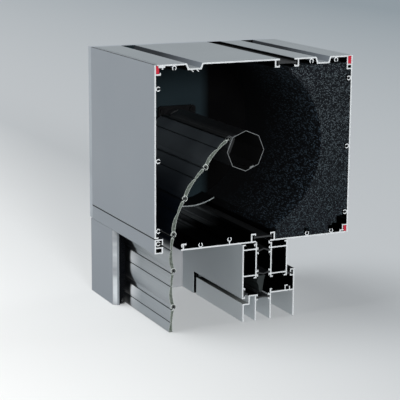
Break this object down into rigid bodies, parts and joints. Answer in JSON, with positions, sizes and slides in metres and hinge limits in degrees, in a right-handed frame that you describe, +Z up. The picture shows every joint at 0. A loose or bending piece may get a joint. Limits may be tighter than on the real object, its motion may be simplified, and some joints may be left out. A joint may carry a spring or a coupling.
{
  "type": "roller shutter box section",
  "caption": "Cut-away corner of a motorised roller shutter box on a window frame: curtain hooked to a turning octagonal tube, guide rail, insulated housing and inward-opening sash.",
  "frame": {"origin": "centre of the box's lintel face, midway between outdoor and indoor faces and midway along the piece", "axes": "+X from outdoors to indoors, +Y along the box from the cut end to the end cap, +Z up"},
  "size_m": [0.237, 0.19, 0.289],
  "materials": {
    "coated_aluminium": "satin grey-blue powder coat, sawn ends bare aluminium",
    "slat_aluminium": "roll-formed coated sheet",
    "mill_aluminium": "mill finish",
    "galvanised_steel": "galvanised",
    "zinc_steel": "zinc plated",
    "black_plastic": "black glass-filled plastic",
    "cap_plastic": "grey moulded plastic",
    "limit_plastic": "moulded",
    "motor_core": "machined and varnished",
    "red_rubber": "soft seal",
    "grey_rubber": "soft seal",
    "black_rubber": "soft seal",
    "grey_foam": null,
    "slat_foam": null,
    "brush_pile": "woven pile"
  },
  "bodies": {
    "box": {"front_panel": "coated_aluminium", "front_lower_profile": "coated_aluminium", "top_panel_outer": "coated_aluminium", "top_panel_inner": "coated_aluminium", "rear_panel": "coated_aluminium", "bottom_panel_outer": "coated_aluminium", "bottom_panel_inner": "coated_aluminium", "top_thermal_break": "black_plastic", "bottom_thermal_break": "black_plastic", "outdoor_top_seal": "red_rubber", "indoor_top_seal": "red_rubber", "indoor_bottom_seal": "red_rubber", "insulation_block": "grey_foam", "end_cap": "cap_plastic", "inlet_horn": "cap_plastic", "end_cap_screws": "zinc_steel", "motor_housing": "galvanised_steel", "motor_drive_unit": "motor_core", "motor_head": "black_plastic", "motor_bracket": "zinc_steel", "motor_bracket_screws": "zinc_steel", "guide_rail": "coated_aluminium", "guide_inlet": "black_plastic", "guide_brushes": "brush_pile", "frame_head_outer": "coated_aluminium", "frame_jamb_outer": "coated_aluminium", "frame_head_inner": "coated_aluminium", "frame_jamb_inner": "coated_aluminium", "frame_thermal_strips": "black_plastic", "central_gasket": "grey_rubber", "frame_gasket": "black_rubber", "hinge_frame_leaf": "coated_aluminium", "hinge_pin": "zinc_steel", "hinge_screws_frame": "zinc_steel"},
    "tube": {"octagonal_tube": "galvanised_steel", "hook_rail": "mill_aluminium", "drive_wheel": "black_plastic", "motor_crown": "black_plastic", "output_shaft": "zinc_steel"},
    "curtain_lower": {"slat_4_skin": "slat_aluminium", "slat_5_skin": "slat_aluminium", "slat_6_skin": "slat_aluminium", "lower_slats_foam": "slat_foam"},
    "slat_3": {"slat_3_skin": "slat_aluminium", "slat_3_foam": "slat_foam"},
    "slat_2": {"slat_2_skin": "slat_aluminium", "slat_2_foam": "slat_foam"},
    "slat_1": {"slat_1_skin": "slat_aluminium", "slat_1_foam": "slat_foam"},
    "sash": {"sash_rail_outer": "coated_aluminium", "sash_stile_outer": "coated_aluminium", "sash_rail_inner": "coated_aluminium", "sash_stile_inner": "coated_aluminium", "sash_thermal_strips": "black_plastic", "sash_overlap_gasket": "black_rubber", "hinge_sash_leaf": "coated_aluminium", "hinge_screws_sash": "zinc_steel"},
    "limit_screw_up": {"limit_screw_up": "limit_plastic"},
    "limit_screw_down": {"limit_screw_down": "limit_plastic"}
  },
  "joints": [
    {"name": "tube_spin", "type": "hinge", "parent": "box", "child": "tube", "pos_m": [-0.0119, -0.095, -0.0973], "axis": [0, 1, 0], "range_deg": [-8, 24]},
    {"name": "curtain_lift", "type": "slide", "parent": "box", "child": "curtain_lower", "axis": [0, 0, 1], "range_m": [-0.00357, 0.01068]},
    {"name": "slat_3_bend", "type": "hinge", "parent": "curtain_lower", "child": "slat_3", "pos_m": [-0.0965, -0.095, -0.1813], "axis": [0, 1, 0], "range_deg": [-3.38, 10.11]},
    {"name": "slat_2_bend", "type": "hinge", "parent": "slat_3", "child": "slat_2", "pos_m": [-0.08348, -0.095, -0.14348], "axis": [0, 1, 0], "range_deg": [-11.09, 3.7]},
    {"name": "slat_1_bend", "type": "hinge", "parent": "slat_2", "child": "slat_1", "pos_m": [-0.0594, -0.095, -0.11153], "axis": [0, 1, 0], "range_deg": [-1.14, 3.39]},
    {"name": "sash_swing", "type": "hinge", "parent": "box", "child": "sash", "pos_m": [0.054, 0.064, -0.264], "axis": [0, 0, 1], "range_deg": [0, 90]},
    {"name": "limit_screw_up_turn", "type": "hinge", "parent": "box", "child": "limit_screw_up", "pos_m": [-0.0219, 0.0795, -0.117], "axis": [0, 0, 1], "continuous": true},
    {"name": "limit_screw_down_turn", "type": "hinge", "parent": "box", "child": "limit_screw_down", "pos_m": [-0.0019, 0.0795, -0.117], "axis": [0, 0, 1], "continuous": true}
  ],
  "couplings": [
    {"joint": "curtain_lift", "follows": "tube_spin", "m_per_rad": 0.025466},
    {"joint": "slat_3_bend", "follows": "tube_spin", "ratio": 0.4209},
    {"joint": "slat_2_bend", "follows": "tube_spin", "ratio": -0.4618},
    {"joint": "slat_1_bend", "follows": "tube_spin", "ratio": 0.1409}
  ]
}
